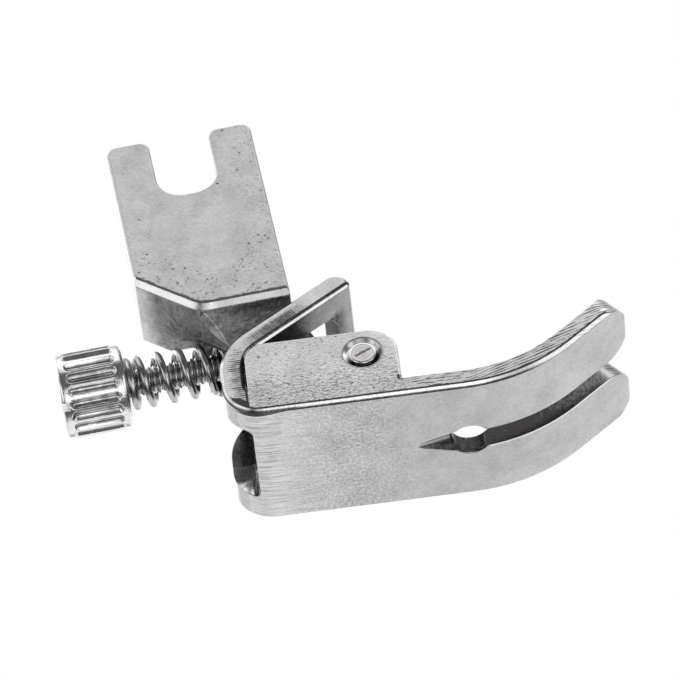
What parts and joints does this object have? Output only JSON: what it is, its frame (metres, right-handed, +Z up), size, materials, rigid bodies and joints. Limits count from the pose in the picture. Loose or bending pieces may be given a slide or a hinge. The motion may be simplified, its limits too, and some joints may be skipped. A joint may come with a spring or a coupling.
{
  "type": "sewing machine presser foot",
  "caption": "High-shank presser foot with a forked clamp shank, a hinged slit shoe with upturned toes and a slotted arm, and a sprung knurled adjusting screw.",
  "frame": {"origin": "on the presser bar's axis, at the ledge that the end of the bar stops on", "axes": "+X to the toes, +Z up along the presser bar, -Y to the side with the clamp screw"},
  "size_m": [0.0412, 0.0123, 0.0294],
  "materials": {
    "shank_steel": "satin nickel plate with fine cast pits",
    "shoe_steel": "brushed nickel plate, bright edges",
    "pin_steel": "turned, staked ends",
    "screw_plate": "bright plate",
    "spring_wire": "bright drawn wire"
  },
  "bodies": {
    "shank": {"shank": "shank_steel"},
    "shoe": {"shoe": "shoe_steel", "hinge_pin": "pin_steel"},
    "spring": {"spring": "spring_wire"},
    "adjusting_screw": {"adjusting_screw": "screw_plate"}
  },
  "joints": [
    {"name": "shoe_tilt", "type": "hinge", "parent": "shank", "child": "shoe", "pos_m": [0.00953, 0, -0.0097], "axis": [0, 1, 0], "range_deg": [-4.74, 5]},
    {"name": "screw_travel", "type": "slide", "parent": "shank", "child": "spring", "axis": [1, 0, 0], "range_m": [-0.0008, 0.0008], "deforming": ["spring"]},
    {"name": "screw_turn", "type": "hinge", "parent": "spring", "child": "adjusting_screw", "pos_m": [0, 0, -0.0032], "axis": [1, 0, 0], "range_deg": [-720.5, 720.5]}
  ],
  "couplings": [
    {"joint": "screw_turn", "follows": "screw_travel", "rad_per_m": 15708}
  ]
}
